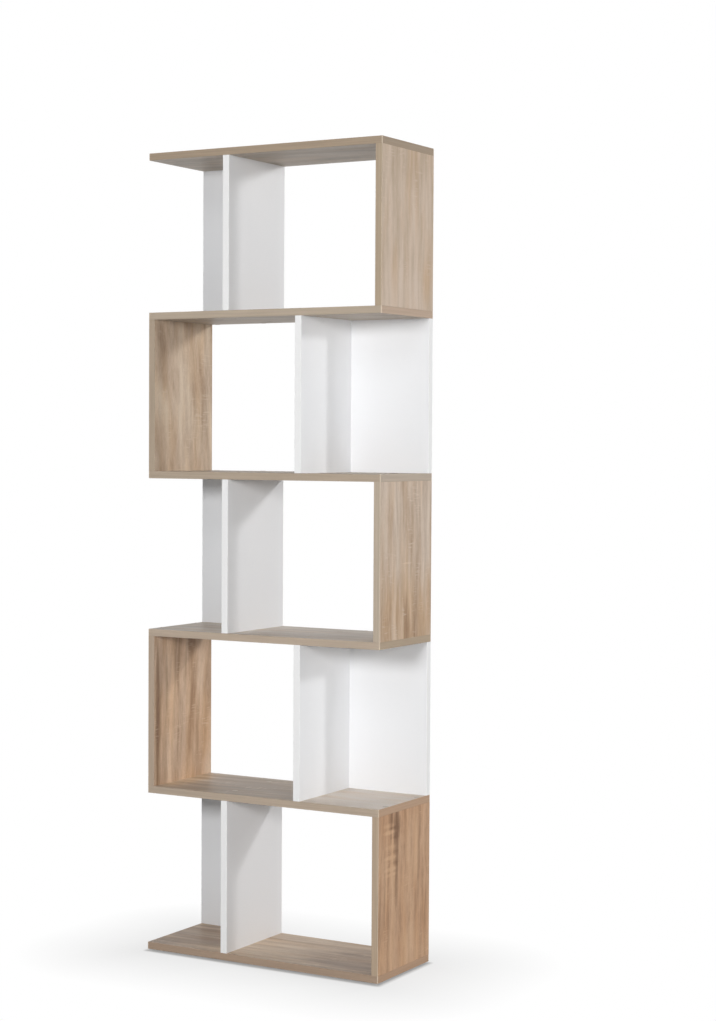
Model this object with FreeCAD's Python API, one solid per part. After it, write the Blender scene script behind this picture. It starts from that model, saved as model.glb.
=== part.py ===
"""Zigzag bookshelf: full-width boards held apart by uprights that change ends from tier to tier.

Every tier has one oak-decor side panel at its closed end, one white divider and one white back panel
that runs from the divider to the open end. The bay between the side panel and the divider has no back.
The frame has its origin on the floor below the middle of the unit, +X to the right seen from the
front, +Y to the back and +Z up. All lengths are in millimetres.
"""
import FreeCAD, Part
import math
import os

# The unit as a whole
unit_width = 600.0          # across the edged ends of the boards
unit_depth = 230.0          # from front edge to back edge
panel_thickness = 16.0      # every board, side, divider and back is cut from this sheet
bay_height = 340.0          # clear height between two boards
open_bay_width = 198.0      # clear width from a divider to the open end
tier_count = 5

# Edge band on every edge that shows
band_thickness = 1.0
band_arris_share = 0.7      # arris radius as a share of the band's thickness

# Screws that go through a board into the end of an upright
screw_length = 50.0
screw_thread_diameter = 7.0
screw_core_diameter = 5.0
screw_pitch = 3.0
screw_shank_length = 14.0   # from the top of the head to the first thread
screw_tip_length = 4.0
screw_head_diameter = 10.0
screw_head_rim = 0.8
screw_head_sink = 0.4       # head below the face of the board
screw_hex_width = 4.0
screw_hex_depth = 2.6
screw_inset = 45.0          # from the front and back edges of a side panel or divider
back_screw_inset = 35.0     # from the two ends of a back panel

# Self-adhesive caps over the screw heads
cap_diameter = 13.0
cap_thickness = 0.5
cap_bevel_share = 0.4       # bevel as a share of the cap's thickness

# Fluted dowels that line the pieces up
dowel_diameter = 8.0
dowel_length = 30.0
dowel_face_depth = 10.0     # part of the length that sits in the face of a board or divider
dowel_bevel = 1.0
dowel_flute_depth = 0.3
dowel_flutes = 12
back_dowel_height_shares = (0.25, 0.75)     # along the joint of back panel and divider

# Nail-on glides under the bottom board
glide_diameter = 20.0
glide_height = 4.0
glide_rounding = 2.0
glide_inset = 24.0          # from the edges of the board to the middle of a glide
nail_diameter = 2.2
nail_length = 14.0
nail_tip_length = 3.0
nail_head_diameter = 6.0
nail_head_height = 1.2

# Angle brackets that hold the unit to a wall
bracket_width = 18.0
bracket_foot = 30.0
bracket_rise = 30.0
bracket_thickness = 2.0
bracket_bend_radius = 2.0   # inside the bend
bracket_corner_radius = 4.0
bracket_hole_height = 20.0  # wall hole above the top board
bracket_wall_hole = 5.5
bracket_foot_hole = 4.2
bracket_foot_hole_shares = (0.3, 0.75)      # along the foot, from the back of the unit

# Pan-head screws that hold the brackets down
small_screw_length = 13.0   # below the head
small_screw_diameter = 3.5
small_screw_core = 2.4
small_screw_pitch = 1.3
small_screw_neck = 2.0
small_screw_tip = 2.5
small_head_diameter = 7.0
small_head_height = 2.2
small_head_rounding = 1.0
cross_width = 1.0
cross_length = 4.0
cross_depth = 1.3

# Fits
hole_clearance = 0.1        # on the radius of every hole for a screw or nail; dowels fit tight
hole_end_gap = 1.0          # free depth past the end of a screw or dowel
cut_overrun = 1.0           # cutting bodies start this far outside the face

tier_pitch = bay_height + panel_thickness
dowel_end_depth = dowel_length - dowel_face_depth
back_y = (unit_depth - panel_thickness) / 2
X_AXIS = FreeCAD.Vector(1, 0, 0)
Y_AXIS = FreeCAD.Vector(0, 1, 0)
UP = FreeCAD.Vector(0, 0, 1)
DOWN = FreeCAD.Vector(0, 0, -1)


def board_bottom(level):
    """Underside of a board; level 0 is the bottom board."""
    return glide_height + level * tier_pitch


def board_top(level):
    return board_bottom(level) + panel_thickness


def board_name(level):
    if level == 0:
        return "bottom_board"
    if level == tier_count:
        return "top_board"
    return f"shelf_{level}"


def closed_end(tier):
    """+1 where the side panel stands at the right, -1 where it stands at the left."""
    return 1 if tier % 2 == 0 else -1


def side_x(tier):
    return closed_end(tier) * (unit_width - panel_thickness) / 2


def divider_x(tier):
    return -closed_end(tier) * ((unit_width - panel_thickness) / 2 - open_bay_width)


def back_x(tier, from_open_end):
    """Place along a back panel, measured from the open end of its tier."""
    return -closed_end(tier) * (unit_width / 2 - from_open_end)


def upright_points(x):
    """Screw and dowel places in the ends of a side panel or divider."""
    reach = unit_depth / 2 - screw_inset
    return [(x, -reach), (x, reach)], [(x, 0)]


def back_points(tier):
    """Screw and dowel places in the ends of a back panel."""
    screws = [(back_x(tier, back_screw_inset), back_y),
              (back_x(tier, open_bay_width - back_screw_inset), back_y)]
    return screws, [(back_x(tier, open_bay_width / 2), back_y)]


def tier_points(tier):
    """All screw and dowel places of one tier, the same at its top and its bottom."""
    screws, dowels = [], []
    for piece in (upright_points(side_x(tier)), upright_points(divider_x(tier)), back_points(tier)):
        screws += piece[0]
        dowels += piece[1]
    return screws, dowels


def block(low, high):
    """Box between two corners, given in any order."""
    start = [min(pair) for pair in zip(low, high)]
    size = [abs(a - b) for a, b in zip(low, high)]
    return Part.makeBox(*size, FreeCAD.Vector(*start))


def turned(outline):
    """Solid of revolution about Z from (radius, height) points."""
    points = [FreeCAD.Vector(radius, 0, height) for radius, height in outline]
    face = Part.Face(Part.makePolygon(points + points[:1]))
    return face.revolve(FreeCAD.Vector(0, 0, 0), UP, 360)


def prism(outline, height):
    """Straight solid from (x, y) points, upwards from z = 0."""
    points = [FreeCAD.Vector(x, y, 0) for x, y in outline]
    return Part.Face(Part.makePolygon(points + points[:1])).extrude(UP * height)


def placed(shape, x, y, z, way=DOWN):
    """Copy of a shape that points down at the origin, pointing the given way at a new place."""
    copy = shape.copy()
    if way == UP:
        copy.rotate(FreeCAD.Vector(0, 0, 0), FreeCAD.Vector(1, 0, 0), 180)
    copy.translate(FreeCAD.Vector(x, y, z))
    return copy


def bore(diameter, mouth, way, depth, clearance=hole_clearance):
    """Cutting body for a drilled hole with its mouth on a face."""
    start = mouth - way * cut_overrun
    return Part.makeCylinder(diameter / 2 + clearance, depth + cut_overrun, start, way)


def dowel_bore(mouth, way, depth):
    """Cutting body for a blind dowel hole, which grips the dowel's ribs."""
    return bore(dowel_diameter, mouth, way, depth + hole_end_gap, 0)


def thread(crest, core, start, end, pitch):
    """Outline points of a thread drawn as rings, going down from start to end."""
    turns = max(1, int((end - start) / pitch))
    step = (end - start) / turns
    points = []
    for turn in range(turns):
        top = -(start + turn * step)
        points += [(core, top), (crest, top - step / 2)]
    return points + [(core, -end)]


def make_screw():
    """Confirmat-type screw with a hex socket, head at z = 0 and point down."""
    head, crest = screw_head_diameter / 2, screw_thread_diameter / 2
    outline = [(0, 0), (head, 0), (head, -screw_head_rim)]
    outline += [(crest, -screw_head_rim - (head - crest)), (crest, -screw_shank_length)]
    first_thread = screw_shank_length + (screw_thread_diameter - screw_core_diameter) / 2
    last_thread = screw_length - screw_tip_length
    outline += thread(crest, screw_core_diameter / 2, first_thread, last_thread, screw_pitch)
    outline += [(0, -screw_length)]
    corner = screw_hex_width / math.sqrt(3)
    turns = [math.radians(60 * step) for step in range(6)]
    hexagon = [(corner * math.cos(turn), corner * math.sin(turn)) for turn in turns]
    socket = placed(prism(hexagon, screw_hex_depth + cut_overrun), 0, 0, -screw_hex_depth)
    return turned(outline).cut(socket)


def make_screw_hole():
    """Cutting body for the countersunk hole through a board, mouth at z = 0; the head's cone seats in it."""
    head = screw_head_diameter / 2 + hole_clearance
    shank = screw_thread_diameter / 2 + hole_clearance
    rim = hole_clearance - screw_head_sink - screw_head_rim
    outline = [(0, cut_overrun), (head, cut_overrun), (head, rim), (shank, rim - (head - shank))]
    outline += [(shank, -panel_thickness - cut_overrun), (0, -panel_thickness - cut_overrun)]
    return turned(outline)


def make_cap():
    """Round cover cap, its glued face at z = 0 and its bevelled face up."""
    radius = cap_diameter / 2
    bevel = cap_thickness * cap_bevel_share
    return turned([(0, 0), (radius, 0), (radius, cap_thickness - bevel), (radius - bevel, cap_thickness),
                   (0, cap_thickness)])


def make_dowel():
    """Fluted dowel along Z; z = 0 is the face that it crosses, the longer part is below it."""
    radius = dowel_diameter / 2
    top, foot = dowel_face_depth, dowel_face_depth - dowel_length
    star = []
    for flute in range(2 * dowel_flutes):
        reach = radius - dowel_flute_depth * (flute % 2)
        angle = math.pi * flute / dowel_flutes
        star.append((reach * math.cos(angle), reach * math.sin(angle)))
    fluted = placed(prism(star, dowel_length), 0, 0, foot)
    tip = radius - dowel_bevel
    bevelled = turned([(0, foot), (tip, foot), (radius, foot + dowel_bevel),
                       (radius, top - dowel_bevel), (tip, top), (0, top)])
    return fluted.common(bevelled)


def edge_band(low, high, outward, along):
    """Strip of edge band with its outer edges rounded: those that run along the given axes."""
    strip = block(low, high)
    level = max(vertex.Point.dot(outward) for vertex in strip.Vertexes)
    arrises = []
    for edge in strip.Edges:
        ends = [vertex.Point for vertex in edge.Vertexes]
        outside = all(math.isclose(point.dot(outward), level) for point in ends)
        run = (ends[1] - ends[0]).normalize()
        if outside and any(abs(run.dot(axis)) > 0.5 for axis in along):
            arrises.append(edge)
    return strip.makeFillet(band_thickness * band_arris_share, arrises)


def make_board(level):
    """Core of a full-width board, drilled for the tiers below and above it."""
    width, depth = unit_width / 2 - band_thickness, unit_depth / 2 - band_thickness
    bottom, top = board_bottom(level), board_top(level)
    screw_hole = make_screw_hole()
    cutters = []
    if level > 0:
        screws, dowels = tier_points(level - 1)
        cutters += [placed(screw_hole, x, y, top) for x, y in screws]
        cutters += [dowel_bore(FreeCAD.Vector(x, y, bottom), UP, dowel_face_depth) for x, y in dowels]
    if level < tier_count:
        screws, dowels = tier_points(level)
        cutters += [placed(screw_hole, x, y, bottom, UP) for x, y in screws]
        cutters += [dowel_bore(FreeCAD.Vector(x, y, top), DOWN, dowel_face_depth) for x, y in dowels]
    if level == tier_count:
        depth_below_foot = small_screw_length - bracket_thickness + hole_end_gap
        cutters += [bore(small_screw_diameter, FreeCAD.Vector(x, y, top), DOWN, depth_below_foot)
                    for x, y in bracket_screw_points()]
    if level == 0:
        nail_depth = nail_length - nail_head_height + hole_end_gap
        cutters += [bore(nail_diameter, FreeCAD.Vector(x, y, bottom), UP, nail_depth)
                    for x, y in glide_points()]
    return block((-width, -depth, bottom), (width, depth, top)).cut(cutters)


def make_board_edging(level):
    """Front and back bands between two end bands that run over the full depth."""
    width, depth = unit_width / 2, unit_depth / 2
    inner_width, inner_depth = width - band_thickness, depth - band_thickness
    bottom, top = board_bottom(level), board_top(level)
    strips = []
    for way in (-1, 1):
        strips.append(edge_band((-inner_width, way * inner_depth, bottom), (inner_width, way * depth, top),
                                Y_AXIS * way, [X_AXIS]))
        strips.append(edge_band((way * inner_width, -depth, bottom), (way * width, depth, top),
                                X_AXIS * way, [Y_AXIS, UP]))
    return strips


def end_bores(screws, dowels, tier):
    """Holes in the top and bottom ends of an upright."""
    screw_depth = screw_head_sink + screw_length - panel_thickness + hole_end_gap
    cutters = []
    for z, way in ((board_top(tier), UP), (board_bottom(tier + 1), DOWN)):
        cutters += [bore(screw_thread_diameter, FreeCAD.Vector(x, y, z), way, screw_depth) for x, y in screws]
        cutters += [dowel_bore(FreeCAD.Vector(x, y, z), way, dowel_end_depth) for x, y in dowels]
    return cutters


def back_dowel_places(tier):
    """Points on the face of a divider where the back panel's dowels cross it."""
    x = back_x(tier, open_bay_width)
    heights = [board_top(tier) + bay_height * share for share in back_dowel_height_shares]
    return [FreeCAD.Vector(x, back_y, height) for height in heights]


def make_upright(x, tier):
    """Core of a side panel or divider, before any hole in its faces."""
    half, depth = panel_thickness / 2, unit_depth / 2 - band_thickness
    core = block((x - half, -depth, board_top(tier)), (x + half, depth, board_bottom(tier + 1)))
    return core.cut(end_bores(*upright_points(x), tier))


def make_divider(tier):
    """Divider, with the back panel's dowel holes in the face towards the open end."""
    inwards = X_AXIS * closed_end(tier)
    cutters = [dowel_bore(place, inwards, dowel_face_depth) for place in back_dowel_places(tier)]
    return make_upright(divider_x(tier), tier).cut(cutters)


def make_upright_edging(x, tier):
    """Bands on the front and back edges of a side panel or divider."""
    half, depth = panel_thickness / 2, unit_depth / 2
    strips = []
    for way in (-1, 1):
        strips.append(edge_band((x - half, way * (depth - band_thickness), board_top(tier)),
                                (x + half, way * depth, board_bottom(tier + 1)), Y_AXIS * way, [UP]))
    return strips


def make_back_panel(tier):
    """Core of a back panel, from the divider to the band at the open end."""
    front = unit_depth / 2 - panel_thickness
    core = block((back_x(tier, open_bay_width), front, board_top(tier)),
                 (back_x(tier, band_thickness), unit_depth / 2, board_bottom(tier + 1)))
    outwards = X_AXIS * -closed_end(tier)
    cutters = end_bores(*back_points(tier), tier)
    cutters += [dowel_bore(place, outwards, dowel_end_depth) for place in back_dowel_places(tier)]
    return core.cut(cutters)


def make_back_edging(tier):
    """Band on the end of a back panel that shows at the open end."""
    outwards = X_AXIS * -closed_end(tier)
    return edge_band((back_x(tier, band_thickness), unit_depth / 2 - panel_thickness, board_top(tier)),
                     (back_x(tier, 0), unit_depth / 2, board_bottom(tier + 1)), outwards, [UP])


def board_screws(level):
    """Screws that go through one board, down into the tier below and up into the tier above."""
    screw = make_screw()
    screws = []
    if level > 0:
        z = board_top(level) - screw_head_sink
        screws += [placed(screw, x, y, z) for x, y in tier_points(level - 1)[0]]
    if level < tier_count:
        z = board_bottom(level) + screw_head_sink
        screws += [placed(screw, x, y, z, UP) for x, y in tier_points(level)[0]]
    return screws


def board_caps(level):
    """Caps over the heads on both faces of one board."""
    cap = make_cap()
    caps = [placed(cap, x, y, board_top(level)) for x, y in tier_points(level - 1)[0]]
    if level < tier_count:
        caps += [placed(cap, x, y, board_bottom(level), UP) for x, y in tier_points(level)[0]]
    return caps


def end_dowels():
    """Dowels between the boards and the ends of all uprights and back panels."""
    dowel = make_dowel()
    dowels = []
    for tier in range(tier_count):
        for x, y in tier_points(tier)[1]:
            dowels.append(placed(dowel, x, y, board_top(tier), UP))
            dowels.append(placed(dowel, x, y, board_bottom(tier + 1)))
    return dowels


def back_dowels():
    """Dowels between the dividers and the back panels, lying along X."""
    dowels = []
    for tier in range(tier_count):
        lying = make_dowel()
        lying.rotate(FreeCAD.Vector(0, 0, 0), Y_AXIS, 90 * closed_end(tier))
        dowels += [placed(lying, *place) for place in back_dowel_places(tier)]
    return dowels


def glide_points():
    x, y = unit_width / 2 - glide_inset, unit_depth / 2 - glide_inset
    return [(x, y), (-x, y), (-x, -y), (x, -y)]


def make_glide():
    """Round glide with a rounded foot and a pocket for the head of its nail, standing on z = 0."""
    puck = Part.makeCylinder(glide_diameter / 2, glide_height)
    foot = [edge for edge in puck.Edges if edge.BoundBox.ZMax < glide_height / 2]
    puck = puck.makeFillet(glide_rounding, foot)
    return puck.cut(bore(nail_head_diameter, FreeCAD.Vector(0, 0, glide_height), DOWN, nail_head_height))


def make_nail():
    """Nail with its head in the pocket of a glide on z = 0 and its point up."""
    radius = nail_diameter / 2
    foot = glide_height - nail_head_height
    tip = foot + nail_length
    return turned([(0, foot), (nail_head_diameter / 2, foot), (nail_head_diameter / 2, glide_height),
                   (radius, glide_height), (radius, tip - nail_tip_length), (0, tip)])


def bracket_xs():
    """Brackets stand between the dowel and the inner screw of the top back panel, and opposite."""
    dowel, inner_screw = open_bay_width / 2, open_bay_width - back_screw_inset
    x = unit_width / 2 - (dowel + inner_screw) / 2
    return [-x, x]


def bracket_screw_points():
    places = [unit_depth / 2 - bracket_foot * share for share in bracket_foot_hole_shares]
    return [(x, y) for x in bracket_xs() for y in places]


def make_bracket():
    """Angle bracket with its foot on z = 0 and the back of its upright leg on y = 0."""
    t, inner = bracket_thickness, bracket_bend_radius
    outer = inner + t
    slant = math.sqrt(0.5)
    corners = {
        "foot_tip": (-bracket_foot, 0), "heel_start": (-outer, 0),
        "heel_middle": (-outer + outer * slant, outer - outer * slant), "heel_end": (0, outer),
        "top_back": (0, bracket_rise), "top_front": (-t, bracket_rise), "bend_start": (-t, outer),
        "bend_middle": (-outer + inner * slant, outer - inner * slant), "bend_end": (-outer, t),
        "foot_top": (-bracket_foot, t),
    }
    at = {name: FreeCAD.Vector(-bracket_width / 2, y, z) for name, (y, z) in corners.items()}
    edges = [Part.LineSegment(at["foot_tip"], at["heel_start"]),
             Part.Arc(at["heel_start"], at["heel_middle"], at["heel_end"]),
             Part.LineSegment(at["heel_end"], at["top_back"]),
             Part.LineSegment(at["top_back"], at["top_front"]),
             Part.LineSegment(at["top_front"], at["bend_start"]),
             Part.Arc(at["bend_start"], at["bend_middle"], at["bend_end"]),
             Part.LineSegment(at["bend_end"], at["foot_top"]),
             Part.LineSegment(at["foot_top"], at["foot_tip"])]
    profile = Part.Wire([edge.toShape() for edge in edges])
    angle = Part.Face(profile).extrude(X_AXIS * bracket_width)
    leg_corners = []
    for edge in angle.Edges:
        box = edge.BoundBox
        at_leg_end = box.YMax < t / 2 - bracket_foot or box.ZMin > bracket_rise - t / 2
        if at_leg_end and box.XLength < t / 2:
            leg_corners.append(edge)
    angle = angle.makeFillet(bracket_corner_radius, leg_corners)
    holes = [Part.makeCylinder(bracket_wall_hole / 2, t + 2 * cut_overrun,
                               FreeCAD.Vector(0, -t - cut_overrun, bracket_hole_height), Y_AXIS)]
    holes += [Part.makeCylinder(bracket_foot_hole / 2, t + 2 * cut_overrun,
                                FreeCAD.Vector(0, -bracket_foot * share, -cut_overrun))
              for share in bracket_foot_hole_shares]
    return angle.cut(holes)


def make_small_screw():
    """Pan-head wood screw with a cross recess, the underside of its head at z = 0 and point down."""
    head = Part.makeCylinder(small_head_diameter / 2, small_head_height)
    crown = [edge for edge in head.Edges if edge.BoundBox.ZMin > small_head_height / 2]
    head = head.makeFillet(small_head_rounding, crown)
    crest, core = small_screw_diameter / 2, small_screw_core / 2
    first_thread = small_screw_neck + crest - core
    outline = [(0, 0), (crest, 0), (crest, -small_screw_neck)]
    outline += thread(crest, core, first_thread, small_screw_length - small_screw_tip, small_screw_pitch)
    body = head.fuse(turned(outline + [(0, -small_screw_length)])).removeSplitter()
    low, high = small_head_height - cross_depth, small_head_height + cut_overrun
    arm, reach = cross_width / 2, cross_length / 2
    lengthways = block((-arm, -reach, low), (arm, reach, high))
    crossways = block((-reach, -arm, low), (reach, arm, high))
    return body.cut([lengthways, crossways])


def all_parts():
    """Every node with its list of solids."""
    parts = {}
    for level in range(tier_count + 1):
        name = board_name(level)
        parts[name] = [make_board(level)]
        parts[f"{name}_edging"] = make_board_edging(level)
        parts[f"{name}_screws"] = board_screws(level)
        if level > 0:
            parts[f"{name}_screw_caps"] = board_caps(level)
    for tier in range(tier_count):
        number = tier + 1
        parts[f"side_panel_{number}"] = [make_upright(side_x(tier), tier)]
        parts[f"side_panel_{number}_edging"] = make_upright_edging(side_x(tier), tier)
        parts[f"divider_{number}"] = [make_divider(tier)]
        parts[f"divider_{number}_edging"] = make_upright_edging(divider_x(tier), tier)
        parts[f"back_panel_{number}"] = [make_back_panel(tier)]
        parts[f"back_panel_{number}_edging"] = [make_back_edging(tier)]
    parts["end_dowels"] = end_dowels()
    parts["back_panel_dowels"] = back_dowels()
    parts["floor_glides"] = [placed(make_glide(), x, y, 0) for x, y in glide_points()]
    parts["glide_nails"] = [placed(make_nail(), x, y, 0) for x, y in glide_points()]
    top = board_top(tier_count)
    parts["wall_brackets"] = [placed(make_bracket(), x, unit_depth / 2, top) for x in bracket_xs()]
    parts["bracket_screws"] = [placed(make_small_screw(), x, y, top + bracket_thickness)
                               for x, y in bracket_screw_points()]
    return parts


os.makedirs("parts", exist_ok=True)
for node, solids in all_parts().items():
    shape = Part.makeCompound(solids) if len(solids) > 1 else solids[0]
    shape.exportStep(f"parts/{node}.step")
    state = "valid" if shape.isValid() else "not valid"
    print(node, len(shape.Solids), "solids", round(shape.Volume), "mm3", state)
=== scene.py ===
"""Zigzag bookshelf: the looks of its oak-decor boards, white panels and fittings, in a plain studio.

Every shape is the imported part's own. This script gives each piece its material, and adds floor, light
and camera. Grain runs along the width of the boards and along the height of the side panels.
"""
import math

import bpy
from mathutils import Matrix, Vector


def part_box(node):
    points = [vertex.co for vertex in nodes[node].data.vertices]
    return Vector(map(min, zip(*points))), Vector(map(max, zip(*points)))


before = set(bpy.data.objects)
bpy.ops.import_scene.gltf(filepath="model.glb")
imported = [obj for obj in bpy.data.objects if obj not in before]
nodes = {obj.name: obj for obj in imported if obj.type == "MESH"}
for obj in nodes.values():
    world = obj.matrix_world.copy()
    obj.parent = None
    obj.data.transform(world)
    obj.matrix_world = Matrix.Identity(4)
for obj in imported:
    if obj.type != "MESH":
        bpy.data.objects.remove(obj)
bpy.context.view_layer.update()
scene = bpy.context.scene

MM = 0.001

# Sizes read from the frame, and the boards from the floor up
board_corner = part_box("bottom_board_edging")[1]
HALF_WIDTH = board_corner.x
HALF_DEPTH = board_corner.y
END_OF_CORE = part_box("bottom_board")[1].x
TIERS = 5
BOARDS = ["bottom_board"] + [f"shelf_{number}" for number in range(1, TIERS)] + ["top_board"]

# Sockets of a mix node: its factor, the numbers or colours that it mixes, and the colour that comes out
FACTOR, NUMBER_A, NUMBER_B, COLOUR_A, COLOUR_B = 0, 2, 3, 6, 7
MIXED_COLOUR = 2


def linear(code):
    """Linear colour of an sRGB hex value."""
    channels = [int(code[start:start + 2], 16) / 255 for start in (0, 2, 4)]
    return (*(c / 12.92 if c <= 0.04045 else ((c + 0.055) / 1.055) ** 2.4 for c in channels), 1.0)


def per_mm(length, width):
    """Factor that counts metres in cells this long along the grain and this wide across it, in mm."""
    return (1 / (length * MM), 1 / (width * MM), 1 / (width * MM))


def add(tree, kind, inputs=(), stops=(), **settings):
    """Add a node with its settings, fill or link its sockets, and return its outputs.

    The first two stops of a colour ramp are its ends, and the others go between them.
    """
    node = tree.nodes.new("ShaderNode" + kind)
    for setting, value in settings.items():
        setattr(node, setting, value)
    for socket, value in inputs.items() if isinstance(inputs, dict) else enumerate(inputs):
        if isinstance(value, bpy.types.NodeSocket):
            tree.links.new(value, node.inputs[socket])
        else:
            node.inputs[socket].default_value = value
    for index, (place, colour) in enumerate(stops):
        row = node.color_ramp.elements
        stop = row[index] if index < 2 else row.new(place)
        stop.position = place
        stop.color = colour if isinstance(colour, tuple) else (colour, colour, colour, 1.0)
    return node.outputs


def new_material(name):
    """A material with nothing in its node tree yet, and that tree."""
    material = bpy.data.materials.new(name)
    material.use_nodes = True
    material.node_tree.nodes.clear()
    return material, material.node_tree


def dress(material, *pieces):
    """Give CAD nodes one material."""
    for piece in pieces:
        nodes[piece].material_slots[0].material = material


def grain_space(tree, grain, shift=(0.0, 0.0, 0.0)):
    """Frame coordinates turned so that X runs along the grain and Y across it, then shifted."""
    x, y, z = add(tree, "SeparateXYZ", [add(tree, "TexCoord")["Object"]])
    along, across, through = {"X": (x, y, z), "Y": (y, x, z), "Z": (z, y, x)}[grain]
    turned = add(tree, "CombineXYZ", [along, across, through])[0]
    return add(tree, "VectorMath", [turned, shift], operation="ADD")[0]


# Each piece is cut from its own place in the decor sheet, this far from the last one, in metres
SHEET_STEP = (0.73, 0.31, 0.11)


def cut_from(number):
    """Place in the decor sheet that a piece is cut from."""
    return tuple(number * step for step in SHEET_STEP)


# Marks of the oak print: how far from their middle they start to fade and are gone, in half sizes, and how
# much their outline wavers with the streaks
MARK_CORE = 0.2
MARK_RIM = 1.15
MARK_WAVER = 0.9


def soft_mark(tree, place, waver, mark):
    """Strength of one spindle-shaped mark.

    A mark is its middle along the grain and across it, its half length and half width, all in mm, and its
    depth: darker or warmer above zero, lighter below.
    """
    along, across, half_length, half_width, depth = mark
    spread = (1 / (half_length * MM), 1 / (half_width * MM), 0.0)
    offset = (-along / half_length, -across / half_width, 0.0)
    inside = add(tree, "VectorMath", [place, spread, offset], operation="MULTIPLY_ADD")[0]
    far = add(tree, "VectorMath", [inside], operation="LENGTH")["Value"]
    far = add(tree, "Math", [far, waver], operation="ADD")[0]
    fade = {"Value": far, "From Min": MARK_CORE, "From Max": MARK_RIM, "To Min": depth, "To Max": 0.0}
    return add(tree, "MapRange", fade, interpolation_type="SMOOTHSTEP")[0]


# Streaks of the oak print, from broad bands to fibres: what they follow, length and width in mm, detail
# and roughness of the noise, share in the tone. Fibres are finer on real oak, and drawn this wide so that
# they show. Noise lies mostly between 0.3 and 0.7, and only flames and the painted shade on the boards go
# below that.
OAK_STREAKS = {
    "band": ("arches", (420, 26), 2.0, 0.50, 0.30),
    "spindle": ("arches", (170, 15), 2.0, 0.50, 0.42),
    "fleck": ("grain", (22, 5), 3.0, 0.65, 0.18),
    "fibre": ("grain", (40, 1.2), 2.0, 0.60, 0.10),
}

# Tone of wood without streaks, slope of the arches' sides, and where the tones stand on the colour ramp
EVEN_TONE = 0.5
ARCH_SLOPE = 0.07
FLAME_AT, DARK_AT, MIDDLE_AT, LIGHT_AT = 0.20, 0.37, 0.50, 0.61

# Its other features: length and width in mm, then where in their noise they start and are full, and how
# strong they are there
SWAY_SIZE = (150, 40)
SWAY_REACH = (0.0, 18 * MM, 0.0)
WARM_ZONE_SIZE = (200, 36)
WARM_ZONE = {"From Min": 0.42, "From Max": 0.70, "To Max": 0.5}
WARM_TINT = "f7e4c9"
SAW_LINE_SIZE = (3.2, 30)
SAW_LINE = {"From Min": 0.56, "From Max": 0.72, "To Max": 0.55}
SAW_PATCH_SIZE = (80, 34)
SAW_PATCH = {"From Min": 0.53, "From Max": 0.70}
PORE_SIZE = (8, 0.7)
PORE = {"From Min": 0.56, "From Max": 0.68, "To Max": 0.3}
SATIN_ROUGHNESS = {"From Min": 0.3, "From Max": 0.7, "To Min": 0.42, "To Max": 0.52}


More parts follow.
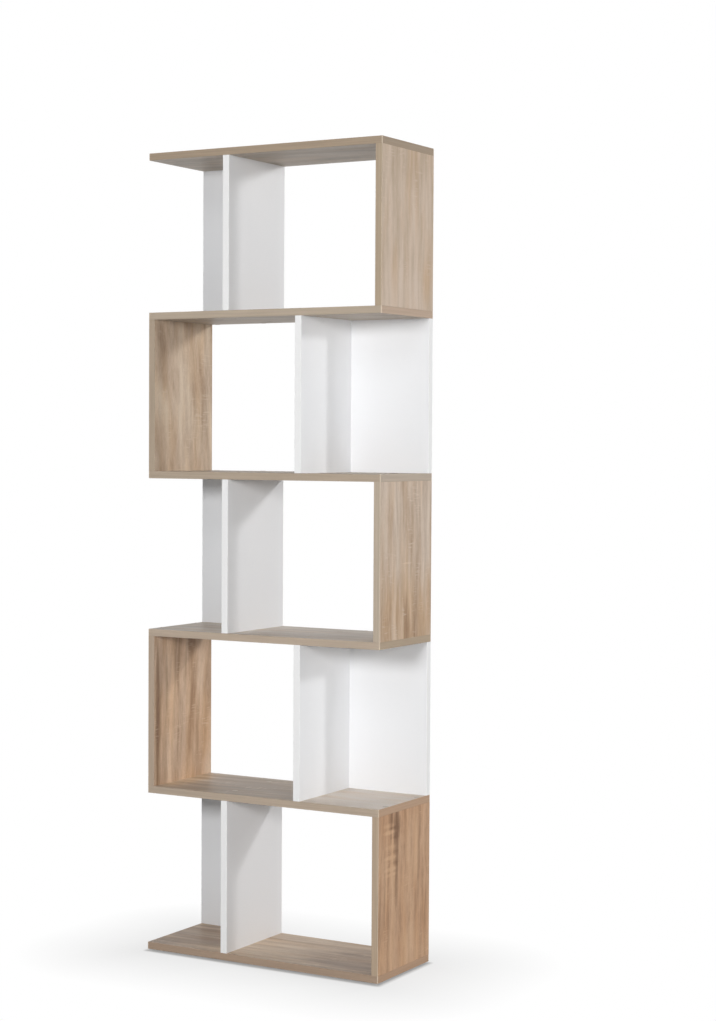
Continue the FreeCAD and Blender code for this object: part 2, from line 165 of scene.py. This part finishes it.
def oak_decor(piece, grain, sheet, tones, heart, flames_and_painted_light=(), blushes_and_painted_reflections=(), contrast=1.0):
    """Oak-decor melamine: paper printed with sawn oak, pressed with a shallow pore structure.

    The eye gets soft cream, tan and brown streaks of spindle shape, grouped in broad bands that close to
    pointed arches beside the heart of the tree, short flecks in them, a few dark, flaring streaks and light
    saw marks, and a satin sheen that turns grey where it is seen at a low angle. The heart line is a place in
    the sheet, in metres. Flames darken or lighten the print, and contrast is that of the streaks. Blushes
    warm the print. On the boards these marks are painted light: dark zones are painted shade, light zones
    painted highlights and painted reflections, and warm zones painted reflections of the oak panels beside
    them.
    """
    light, middle, dark, flamed = (linear(tone) for tone in tones)
    material, tree = new_material(f"pressed_oak_decor_melamine_{piece}")
    place = grain_space(tree, grain)
    board = add(tree, "VectorMath", [place, sheet], operation="ADD")[0]

    # Grain sways a few millimetres from side to side within a hand's length
    cells = add(tree, "VectorMath", [board, per_mm(*SWAY_SIZE)], operation="MULTIPLY")[0]
    sway = add(tree, "TexNoise", {"Vector": cells, "Scale": 1.0, "Detail": 2.0})["Color"]
    swayed = add(tree, "VectorMath", [sway, SWAY_REACH, board], operation="MULTIPLY_ADD")[0]

    # Distance from the heart line, which turns straight grain into arches beside it
    slopes = (ARCH_SLOPE, 1.0, 0.0)
    to_heart = (-ARCH_SLOPE * heart[0], -heart[1], 0.0)
    from_heart = add(tree, "VectorMath", [swayed, slopes, to_heart], operation="MULTIPLY_ADD")[0]
    ring = add(tree, "VectorMath", [from_heart], operation="LENGTH")["Value"]
    parted = add(tree, "SeparateXYZ", [board])
    lines = {"grain": swayed, "arches": add(tree, "CombineXYZ", [parted["X"], ring, parted["Z"]])[0]}

    # Broad bands, spindle-shaped streaks in them, short flecks, and fibres, laid over each other
    wood = EVEN_TONE * (1 - contrast)
    streaks = {}
    for name, (follows, size, detail, roughness, share) in OAK_STREAKS.items():
        cells = add(tree, "VectorMath", [lines[follows], per_mm(*size)], operation="MULTIPLY")[0]
        noise = {"Vector": cells, "Scale": 1.0, "Detail": detail, "Roughness": roughness}
        streaks[name] = add(tree, "TexNoise", noise)[0]
        wood = add(tree, "Math", [streaks[name], share * contrast, wood], operation="MULTIPLY_ADD")[0]

    # Flames and light marks of this piece; on the boards they are painted shade, painted highlights and
    # painted reflections
    waver = add(tree, "Math", [streaks["spindle"], MARK_WAVER, -MARK_WAVER / 2], operation="MULTIPLY_ADD")[0]
    for flame_or_painted_light in flames_and_painted_light:
        wood = add(tree, "Math", [wood, soft_mark(tree, place, waver, flame_or_painted_light)], operation="SUBTRACT")[0]
    ramp = [(FLAME_AT, flamed), (LIGHT_AT, light), (DARK_AT, dark), (MIDDLE_AT, middle)]
    colour = add(tree, "ValToRGB", [wood], stops=ramp)[0]

    # Warmer zones, a hand long along the grain, and the blushes of this piece, which on the boards are
    # painted reflections of the oak panels beside them
    cells = add(tree, "VectorMath", [swayed, per_mm(*WARM_ZONE_SIZE)], operation="MULTIPLY")[0]
    zone = add(tree, "TexNoise", {"Vector": cells, "Scale": 1.0, "Detail": 2.0})[0]
    warmth_and_painted_reflection = add(tree, "MapRange", {"Value": zone, **WARM_ZONE})[0]
    for blush_or_painted_reflection in blushes_and_painted_reflections:
        blush_or_reflection_strength = soft_mark(tree, place, waver, blush_or_painted_reflection)
        warmth_and_painted_reflection = add(tree, "Math", [warmth_and_painted_reflection, blush_or_reflection_strength], operation="ADD", use_clamp=True)[0]
    tint = {FACTOR: warmth_and_painted_reflection, COLOUR_A: colour, COLOUR_B: linear(WARM_TINT)}
    colour = add(tree, "Mix", tint, data_type="RGBA", blend_type="MULTIPLY")[MIXED_COLOUR]

    # Saw marks: light lines about 30 mm long across the grain, in a few patches
    cells = add(tree, "VectorMath", [board, per_mm(*SAW_LINE_SIZE)], operation="MULTIPLY")[0]
    saw = add(tree, "TexNoise", {"Vector": cells, "Scale": 1.0, "Detail": 1.0})[0]
    saw = add(tree, "MapRange", {"Value": saw, **SAW_LINE})[0]
    cells = add(tree, "VectorMath", [board, per_mm(*SAW_PATCH_SIZE)], operation="MULTIPLY")[0]
    patch = add(tree, "TexNoise", {"Vector": cells, "Scale": 1.0, "Detail": 0.0})[0]
    patch = add(tree, "MapRange", {"Value": patch, **SAW_PATCH})[0]
    saw = add(tree, "Math", [saw, patch], operation="MULTIPLY")[0]
    sawn = {FACTOR: saw, COLOUR_A: colour, COLOUR_B: light}
    colour = add(tree, "Mix", sawn, data_type="RGBA")[MIXED_COLOUR]

    # Pores: dark dashes 8 mm long, drawn 0.7 mm wide so that they show
    cells = add(tree, "VectorMath", [swayed, per_mm(*PORE_SIZE)], operation="MULTIPLY")[0]
    pore = add(tree, "TexNoise", {"Vector": cells, "Scale": 1.0, "Detail": 1.0})[0]
    pores = add(tree, "MapRange", {"Value": pore, **PORE})[0]
    porous = {FACTOR: pores, COLOUR_A: colour, COLOUR_B: dark}
    colour = add(tree, "Mix", porous, data_type="RGBA")[MIXED_COLOUR]

    # Pores are pressed in, and fibres roughen the sheen
    height = add(tree, "Math", [pores, -1.0, streaks["fibre"]], operation="MULTIPLY_ADD")[0]
    bump = add(tree, "Bump", {"Height": height, "Distance": 0.06 * MM, "Strength": 0.6})[0]
    rough = add(tree, "MapRange", {"Value": streaks["fibre"], **SATIN_ROUGHNESS})[0]
    surface = add(tree, "BsdfPrincipled", {
        "Base Color": colour, "Roughness": rough, "Normal": bump, "IOR": 1.5, "Specular IOR Level": 0.32})[0]
    add(tree, "OutputMaterial", {"Surface": surface})
    return material


# Edge band: length and width of its streaks in mm, step along its roll in metres for each letter of a
# piece's name, and width and colour of the pale line at a corner, seen from the front and from the end. The
# line is partly the band's paler cut end and partly a painted highlight.
BAND_STREAK_SIZE = (160, 3.5)
ROLL_STEP = 0.37
CORNER_LINE_FRONT = 1.4 * MM
CORNER_LINE_END = 1.96 * MM
CUT_END_AND_HIGHLIGHT_TONE = "dccdb9"


def oak_edge_band(piece, grain, front_tone, end_tone, cut_end_and_highlight_share):
    """Oak-print ABS edge band: plain lengthwise streaks, and a pale line where two bands meet at a corner,
    which is partly the band's paler cut end and partly a painted highlight.
    """
    material, tree = new_material(f"printed_oak_abs_edge_band_{piece}")
    from_middle = add(tree, "VectorMath", [add(tree, "TexCoord")["Object"]], operation="ABSOLUTE")[0]
    parted = add(tree, "SeparateXYZ", [from_middle])
    at_end = add(tree, "Math", [parted["X"], END_OF_CORE], operation="GREATER_THAN")[0]

    # The end bands of a board run front to back, the others along their board or panel
    runs = []
    for direction in (grain, "Y" if grain == "X" else grain):
        band = grain_space(tree, direction, (ROLL_STEP * len(piece), 0.0, 0.0))
        cells = add(tree, "VectorMath", [band, per_mm(*BAND_STREAK_SIZE)], operation="MULTIPLY")[0]
        noise = {"Vector": cells, "Scale": 1.0, "Detail": 3.0, "Roughness": 0.6}
        runs.append(add(tree, "TexNoise", noise)[0])
    streak = add(tree, "Mix", {FACTOR: at_end, NUMBER_A: runs[0], NUMBER_B: runs[1]})[0]
    plain = {FACTOR: at_end, COLOUR_A: linear(front_tone), COLOUR_B: linear(end_tone)}
    tone = add(tree, "Mix", plain, data_type="RGBA")[MIXED_COLOUR]
    shade = add(tree, "ValToRGB", [streak], stops=[(0.32, 0.86), (0.66, 1.0)])[0]
    streaked = {FACTOR: 1.0, COLOUR_A: tone, COLOUR_B: shade}
    colour = add(tree, "Mix", streaked, data_type="RGBA", blend_type="MULTIPLY")[MIXED_COLOUR]

    # Pale line at each corner: partly the band's paler cut end, partly a painted highlight
    near_end = add(tree, "Math", [parted["X"], HALF_WIDTH - CORNER_LINE_FRONT], operation="GREATER_THAN")[0]
    near_front = add(tree, "Math", [parted["Y"], HALF_DEPTH - CORNER_LINE_END], operation="GREATER_THAN")[0]
    corner = add(tree, "Math", [near_end, near_front], operation="MULTIPLY")[0]
    corner = add(tree, "Math", [corner, cut_end_and_highlight_share], operation="MULTIPLY")[0]
    cornered = {FACTOR: corner, COLOUR_A: colour, COLOUR_B: linear(CUT_END_AND_HIGHLIGHT_TONE)}
    colour = add(tree, "Mix", cornered, data_type="RGBA")[MIXED_COLOUR]

    bump = add(tree, "Bump", {"Height": streak, "Distance": 0.03 * MM, "Strength": 0.5})[0]
    surface = add(tree, "BsdfPrincipled", {
        "Base Color": colour, "Roughness": 0.48, "Normal": bump, "IOR": 1.5, "Specular IOR Level": 0.4})[0]
    add(tree, "OutputMaterial", {"Surface": surface})
    return material


# Smaller patterns: length and width in mm, place of the foil's print in metres, and the pearl's darkest
# white. Pearl, rays and mould grain are finer on the real surfaces, and drawn this coarse so that they show.
FOIL_STREAK_SIZE = (30, 2)
FOIL_SHIFT = (0.05, 0.02, 0.0)
PEARL_SIZE = (1.5, 1.5)
PEARL_SHADE = 0.97
SPANGLE_SIZE = (3, 3)
BEECH_RAY_SIZE = (3, 0.5)
MOULD_GRAIN_SIZE = (0.8, 0.8)


def oak_cap_foil():
    """Self-adhesive PVC foil printed with oak: short plain streaks under a satin film, so that a cap just
    tells itself from the board around it."""
    material, tree = new_material("printed_oak_pvc_cap_foil")
    cap = grain_space(tree, "X", FOIL_SHIFT)
    cells = add(tree, "VectorMath", [cap, per_mm(*FOIL_STREAK_SIZE)], operation="MULTIPLY")[0]
    streak = add(tree, "TexNoise", {"Vector": cells, "Scale": 1.0, "Detail": 3.0})[0]
    colour = add(tree, "ValToRGB", [streak], stops=[(0.35, linear("aca194")), (0.65, linear("cbc0b3"))])[0]
    bump = add(tree, "Bump", {"Height": streak, "Distance": 0.03 * MM, "Strength": 0.4})[0]
    surface = add(tree, "BsdfPrincipled", {
        "Base Color": colour, "Roughness": 0.4, "Normal": bump, "IOR": 1.53, "Specular IOR Level": 0.4})[0]
    add(tree, "OutputMaterial", {"Surface": surface})
    return material


def pearl_white(name, code):
    """White melamine or ABS with a fine pearl texture pressed in: an even satin white that breaks up
    highlights softly."""
    material, tree = new_material(name)
    place = add(tree, "TexCoord")["Object"]
    cells = add(tree, "VectorMath", [place, per_mm(*PEARL_SIZE)], operation="MULTIPLY")[0]
    pearl = add(tree, "TexNoise", {"Vector": cells, "Scale": 1.0, "Detail": 2.0})[0]
    white = linear(code)
    shade = tuple(PEARL_SHADE * channel for channel in white[:3]) + (1.0,)
    colour = add(tree, "ValToRGB", [pearl], stops=[(0.3, shade), (0.6, white)])[0]
    bump = add(tree, "Bump", {"Height": pearl, "Distance": 0.04 * MM, "Strength": 0.4})[0]
    rough = add(tree, "ValToRGB", [pearl], stops=[(0.3, 0.38), (0.7, 0.46)])[0]
    surface = add(tree, "BsdfPrincipled", {
        "Base Color": colour, "Roughness": rough, "Normal": bump, "IOR": 1.5})[0]
    add(tree, "OutputMaterial", {"Surface": surface})
    return material


def zinc_plated_steel():
    """Bright zinc on cold-formed steel: bluish grey, with faint cloudy spangle in its shine."""
    material, tree = new_material("bright_zinc_plated_steel")
    place = add(tree, "TexCoord")["Object"]
    cells = add(tree, "VectorMath", [place, per_mm(*SPANGLE_SIZE)], operation="MULTIPLY")[0]
    spangle = add(tree, "TexNoise", {"Vector": cells, "Scale": 1.0, "Detail": 3.0})[0]
    colour = add(tree, "ValToRGB", [spangle], stops=[(0.3, linear("a9adb2")), (0.7, linear("c6c9cc"))])[0]
    rough = add(tree, "ValToRGB", [spangle], stops=[(0.3, 0.25), (0.7, 0.38)])[0]
    surface = add(tree, "BsdfPrincipled", {"Base Color": colour, "Roughness": rough, "Metallic": 1.0})[0]
    add(tree, "OutputMaterial", {"Surface": surface})
    return material


def turned_beech(name, grain):
    """Raw turned beech: dull pinkish tan with the short brown flecks of its rays."""
    material, tree = new_material(name)
    dowel = grain_space(tree, grain)
    cells = add(tree, "VectorMath", [dowel, per_mm(*BEECH_RAY_SIZE)], operation="MULTIPLY")[0]
    ray = add(tree, "TexNoise", {"Vector": cells, "Scale": 1.0, "Detail": 1.0})[0]
    colour = add(tree, "ValToRGB", [ray], stops=[(0.50, linear("d2ab80")), (0.68, linear("a87b52"))])[0]
    bump = add(tree, "Bump", {"Height": ray, "Distance": 0.05 * MM, "Strength": 0.4})[0]
    surface = add(tree, "BsdfPrincipled", {
        "Base Color": colour, "Roughness": 0.65, "Normal": bump, "IOR": 1.5})[0]
    add(tree, "OutputMaterial", {"Surface": surface})
    return material


def moulded_polyethylene():
    """Brown moulded polyethylene: waxy and dull, with a faint matt grain from its mould."""
    material, tree = new_material("moulded_brown_polyethylene")
    place = add(tree, "TexCoord")["Object"]
    cells = add(tree, "VectorMath", [place, per_mm(*MOULD_GRAIN_SIZE)], operation="MULTIPLY")[0]
    mould = add(tree, "TexNoise", {"Vector": cells, "Scale": 1.0, "Detail": 2.0})[0]
    colour = add(tree, "ValToRGB", [mould], stops=[(0.3, linear("635246")), (0.7, linear("735f50"))])[0]
    bump = add(tree, "Bump", {"Height": mould, "Distance": 0.05 * MM, "Strength": 0.5})[0]
    surface = add(tree, "BsdfPrincipled", {
        "Base Color": colour, "Roughness": 0.5, "Normal": bump, "IOR": 1.51})[0]
    add(tree, "OutputMaterial", {"Surface": surface})
    return material


# Tones of the decor: light, middle and dark streaks, flames
DUSTY_OAK = ("bfb4a8", "b2a597", "978b7e", "857a6e")
# The light tone of pale oak also gives the painted reflection at the right end of shelf_1
PALE_OAK_AND_PAINTED_REFLECTION = ("dad0c6", "b5a89b", "9d9185", "8a7f73")
ASH_OAK = ("ccc3ba", "beb3a8", "a2978d", "90867d")
# Grey oak, on the top side panel, is lighter than its print alone: part of its tone is painted sheen
GREY_OAK_AND_PAINTED_SHEEN = ("d0beae", "c5b29f", "b4a08b", "9c8773")
CREAM_OAK = ("d8c6b1", "c3ae99", "9f8772", "866e59")
SMOOTH_OAK = ("cdbba7", "b9a591", "a08c7b", "8b7a6d")
STREAKED_OAK = ("d8c7b7", "c8b6a5", "af9a87", "876a4f")
TAN_OAK = ("dec3a9", "c8ac93", "a5886f", "82634e")
WARM_OAK = ("cfac8b", "bf9a7b", "987659", "765439")

# Knot near the front edge of the lowest side panel: dark heart, then light and dark bars across the grain
KNOT = [
    (333, -39, 46, 29, 0.20), (295, -38, 80, 17, 0.12), (215, -36, 80, 11, 0.09),
    (335, -66, 6, 34, -0.09), (320, -64, 6, 36, -0.15), (288, -62, 6, 30, -0.07),
    (265, -61, 6, 34, -0.12), (240, -60, 6, 34, -0.12), (228, -60, 5, 30, -0.09),
    (328, -44, 4, 22, 0.08), (307, -44, 5, 22, 0.08), (276, -46, 5, 24, 0.07), (252, -46, 5, 24, 0.07),
]

# Side panels from the floor up: print, with its marks at their height and depth in the frame, then the tone
# of the edge band
SIDE_PANELS = [
    ({"tones": WARM_OAK, "heart": (0.9, -0.16),
      "flames_and_painted_light": KNOT + [
          (270, 52, 100, 9, -0.09), (165, 54, 80, 8, 0.06), (290, 61, 90, 8, -0.07),
          # The last mark makes the panel lighter towards its foot
          (190, 72, 110, 4, -0.07), (130, -86, 110, 6, 0.06), (50, 0, 70, 150, -0.06)],
      "blushes_and_painted_reflections": [(110, 92, 100, 24, 0.25)]}, "b9a48d"),
    ({"tones": TAN_OAK, "heart": (0.2, 0.45),
      "flames_and_painted_light": [
          # The first mark, a dark band along the front edge, is partly print and partly painted shade
          (545, -102, 220, 10, 0.20), (668, -30, 85, 18, 0.15), (705, 36, 45, 24, 0.10),
          (480, 60, 120, 14, 0.05), (630, 62, 75, 14, -0.05), (395, 10, 60, 60, -0.05)],
      "blushes_and_painted_reflections": [(480, 80, 120, 60, 0.5)]}, "b8a592"),
    ({"tones": STREAKED_OAK, "heart": (0.5, 0.1),
      "flames_and_painted_light": [
          (745, 5, 110, 18, 0.22), (825, -54, 140, 13, -0.10), (895, 2, 2.5, 26, -0.10),
          (775, 48, 100, 12, 0.11), (1000, 22, 90, 14, 0.07), (755, -82, 90, 9, 0.08),
          (790, 10, 120, 150, 0.02), (960, 57, 140, 12, 0.045), (900, 98, 190, 14, -0.05)],
      "blushes_and_painted_reflections": [(770, 0, 130, 170, 0.5)]}, "bdae9c"),
    ({"tones": CREAM_OAK, "heart": (0.4, 0.8),
      "flames_and_painted_light": [
          # The first mark, dark near the front edge high on the panel, is partly print and partly painted
          # shade
          (1330, -92, 120, 22, 0.08), (1258, 20, 190, 12, -0.035), (1230, -12, 150, 9, -0.07),
          (1226, -84, 2.5, 22, -0.10), (1160, 70, 110, 9, 0.05)]}, "b3a28f"),
    ({"tones": GREY_OAK_AND_PAINTED_SHEEN, "heart": (4.5, 1.5),
      "flames_and_painted_light": [
          (1490, 80, 50, 8, 0.06), (1740, 50, 2.5, 18, -0.06), (1560, -20, 140, 12, 0.04),
          (1760, 0, 70, 150, 0.06), (1470, 0, 90, 150, -0.06), (1554, 19, 110, 12, 0.045)],
      "blushes_and_painted_reflections": [(1500, 80, 60, 20, 0.3)]}, "b3a18b"),
]

# Boards from the floor up: print, with the marks of painted light at their width and depth in the frame,
# then the tones of the front and end bands. These marks are on the three lowest boards and at the left of
# the top one: dark zones are painted shade, light zones painted highlights and painted reflections, and
# warm zones painted reflections of the oak panels beside them.
BOARD_LOOKS = [
    ({"tones": SMOOTH_OAK, "heart": (0.2, 2.06),
      "flames_and_painted_light": [
          (-230, 0, 150, 180, 0.13), (-270, -90, 60, 70, 0.08), (-40, -30, 110, 120, -0.055),
          (190, -40, 130, 110, 0.12)]}, "ad9682", "b49377"),
    ({"tones": PALE_OAK_AND_PAINTED_REFLECTION, "heart": (0.6, 2.2), "contrast": 0.55,
      "flames_and_painted_light": [(-80, 0, 180, 190, 0.08), (-270, 0, 60, 170, -0.07), (210, 0, 170, 200, -0.16)],
      "blushes_and_painted_reflections": [(-270, 0, 50, 150, 0.8)]}, "b9a896", "b9997e"),
    ({"tones": ASH_OAK, "heart": (0.7, 2.5), "contrast": 0.7,
      "flames_and_painted_light": [(-265, -40, 50, 90, 0.05), (-75, 30, 50, 100, -0.09), (260, -60, 60, 120, -0.08)],
      "blushes_and_painted_reflections": [(265, -60, 60, 120, 0.35)]}, "bcab99", "b09d86"),
    ({"tones": DUSTY_OAK, "heart": (1.2, 2.9)}, "b4a492", "bcad9d"),
    ({"tones": DUSTY_OAK, "heart": (1.5, 3.0)}, "b9aa98", "bda692"),
    ({"tones": DUSTY_OAK, "heart": (2.0, 3.3),
      "flames_and_painted_light": [(-240, 0, 120, 180, 0.07)]}, "a99783", "9f8d79"),
]

# How plainly the pale line at a corner shows: partly the band's paler cut end, partly a painted highlight
PANEL_CUT_END_AND_HIGHLIGHT = 0.35
BOARD_CUT_END_AND_HIGHLIGHT = 0.75

for number, (oak_print, band_tone) in enumerate(SIDE_PANELS):
    piece = f"side_panel_{number + 1}"
    dress(oak_decor(piece, "Z", cut_from(number), **oak_print), piece)
    dress(oak_edge_band(piece, "Z", band_tone, band_tone, PANEL_CUT_END_AND_HIGHLIGHT), f"{piece}_edging")
for number, (piece, look) in enumerate(zip(BOARDS, BOARD_LOOKS), len(SIDE_PANELS)):
    oak_print, front_tone, end_tone = look
    dress(oak_decor(piece, "X", cut_from(number), **oak_print), piece)
    dress(oak_edge_band(piece, "X", front_tone, end_tone, BOARD_CUT_END_AND_HIGHLIGHT), f"{piece}_edging")

white_panels = [f"{kind}_{number + 1}" for number in range(TIERS) for kind in ("divider", "back_panel")]
dress(pearl_white("pressed_pearl_white_melamine", "eff0f2"), *white_panels)
dress(pearl_white("embossed_white_abs_edge_band", "f4f4f4"), *(f"{piece}_edging" for piece in white_panels))
dress(oak_cap_foil(), *(f"{piece}_screw_caps" for piece in BOARDS[1:]))
dress(zinc_plated_steel(), *(f"{piece}_screws" for piece in BOARDS), "wall_brackets", "bracket_screws",
      "glide_nails")
dress(turned_beech("turned_beech_end_dowels", "Z"), "end_dowels")
dress(turned_beech("turned_beech_back_dowels", "X"), "back_panel_dowels")
dress(moulded_polyethylene(), "floor_glides")


def shown(tree):
    """1 for what the camera, a reflection or a clear piece shows, 0 for the light that falls on the unit."""
    path = add(tree, "LightPath")
    seen = add(tree, "Math", [path["Is Camera Ray"], path["Is Glossy Ray"]], operation="MAXIMUM")[0]
    return add(tree, "Math", [seen, path["Is Transmission Ray"]], operation="MAXIMUM")[0]


# Floor: pale paper, white away from the unit and grey with its shadow close to it: the white glow is faded
# out towards the unit as painted shade, so that the grey paper and the real shadow on it show. Reaches are
# in metres, and the shares of plain white are those at the unit's foot.
WHITE = "ffffff"
FLOOR_GREY = "b4b4b3"
FLOOR_REACH = 40.0
SHADOW_REACH = 0.3
SHADOW_WHITE = 0.75
CONTACT_REACH = 0.012
CONTACT_WHITE = 0.35
corners = [(-FLOOR_REACH, -FLOOR_REACH, 0), (FLOOR_REACH, -FLOOR_REACH, 0),
           (FLOOR_REACH, FLOOR_REACH, 0), (-FLOOR_REACH, FLOOR_REACH, 0)]
floor_mesh = bpy.data.meshes.new("floor")
floor_mesh.from_pydata(corners, [], [(0, 1, 2, 3)])
floor = bpy.data.objects.new("floor", floor_mesh)
scene.collection.objects.link(floor)

# Matt paper: a soft shadow reaches a hand or two out from the unit, and a thin dark line runs below it.
# Both are partly painted shade, from the white glow fading towards the unit, and partly the real shadow.
floor_paper, tree = new_material("matt_floor_paper")
outside = add(tree, "VectorMath", [add(tree, "TexCoord")["Object"]], operation="ABSOLUTE")[0]
outside = add(tree, "VectorMath", [outside, (HALF_WIDTH, HALF_DEPTH, 0)], operation="SUBTRACT")[0]
outside = add(tree, "VectorMath", [outside, (0, 0, 0)], operation="MAXIMUM")[0]
reach = add(tree, "VectorMath", [outside], operation="LENGTH")["Value"]
white_share = add(tree, "MapRange", {"Value": reach, "From Max": SHADOW_REACH, "To Min": SHADOW_WHITE})[0]
painted_contact_shade = add(tree, "MapRange", {"Value": reach, "From Max": CONTACT_REACH, "To Min": CONTACT_WHITE})[0]
white_share = add(tree, "Math", [white_share, painted_contact_shade], operation="MULTIPLY")[0]
white_share = add(tree, "Math", [shown(tree), white_share], operation="MULTIPLY")[0]
paper = add(tree, "BsdfDiffuse", {"Color": linear(FLOOR_GREY)})[0]
glow = add(tree, "Emission", {"Color": linear(WHITE), "Strength": 1.0})[0]
add(tree, "OutputMaterial", {"Surface": add(tree, "MixShader", [white_share, paper, glow])[0]})
floor_mesh.materials.append(floor_paper)

# Studio: an even pale room that lights the unit softly and shows as white
AMBIENT = 0.02
world = bpy.data.worlds.new("studio_room")
scene.world = world
world.use_nodes = True
tree = world.node_tree
tree.nodes.clear()
room = add(tree, "Background", {"Color": linear(WHITE), "Strength": AMBIENT})[0]
backdrop = add(tree, "Background", {"Color": linear(WHITE), "Strength": 1.0})[0]
add(tree, "OutputWorld", {"Surface": add(tree, "MixShader", [shown(tree), room, backdrop])[0]})

# Softboxes, all turned to the middle of the unit: name, place, width and height in metres, power in watts.
# They leave no glare on the boards, which reflect the white room alone.
AIM = (0.0, 0.0, 0.9)
SOFTBOXES = [
    ("front_softbox", (0.7, -4.15, 1.75), (1.4, 0.7), 88.0),
    ("front_high_softbox", (1.7, -4.7, 3.8), (1.2, 1.2), 22.0),
    ("right_front_softbox", (6.1, -5.1, 1.8), (1.6, 1.6), 188.0),
    ("right_softbox", (8.0, 0.0, 1.8), (1.6, 1.6), 60.0),
    ("right_back_lamp", (4.7, 2.45, 2.45), (0.4, 0.4), 73.0),
    ("left_softbox", (-4.2, 0.9, 1.6), (1.6, 1.6), 75.0),
    ("back_softbox", (1.2, 5.0, 3.4), (1.6, 1.6), 95.0),
    ("top_softbox", (0.0, 0.0, 3.8), (0.6, 0.4), 22.0),
]
for name, place, size, power in SOFTBOXES:
    lamp = bpy.data.lights.new(name, "AREA")
    lamp.shape = "RECTANGLE"
    lamp.size, lamp.size_y = size
    lamp.energy = power
    softbox = bpy.data.objects.new(name, lamp)
    softbox.location = place
    softbox.rotation_euler = (Vector(AIM) - Vector(place)).to_track_quat("-Z", "Y").to_euler()
    softbox.visible_glossy = False
    scene.collection.objects.link(softbox)

# Camera: place in metres, turned by yaw, pitch and roll in degrees. Its focal length is in pixels of the
# picture, and its sensor in mm.
CAMERA_PLACE = (2.4793, -3.9656, 1.1581)
CAMERA_YAW = 30.117
CAMERA_PITCH = 1.896
CAMERA_ROLL = 0.301
FOCAL_LENGTH = 2097.0
PICTURE_HEIGHT = 1021
SENSOR_SIZE = 36.0
yaw, pitch, roll = (math.radians(angle) for angle in (CAMERA_YAW, CAMERA_PITCH, CAMERA_ROLL))
level_right = Vector((math.cos(yaw), math.sin(yaw), 0))
ahead = Vector((-math.sin(yaw) * math.cos(pitch), math.cos(yaw) * math.cos(pitch), -math.sin(pitch)))
level_up = level_right.cross(ahead)
right = math.cos(roll) * level_right + math.sin(roll) * level_up
up = math.cos(roll) * level_up - math.sin(roll) * level_right
lens = bpy.data.cameras.new("camera")
lens.sensor_width = SENSOR_SIZE
lens.lens = FOCAL_LENGTH * SENSOR_SIZE / PICTURE_HEIGHT
camera = bpy.data.objects.new("camera", lens)
camera.matrix_world = Matrix.Translation(CAMERA_PLACE) @ Matrix((right, up, -ahead)).transposed().to_4x4()
scene.collection.objects.link(camera)
scene.camera = camera
scene.view_settings.view_transform = "Standard"
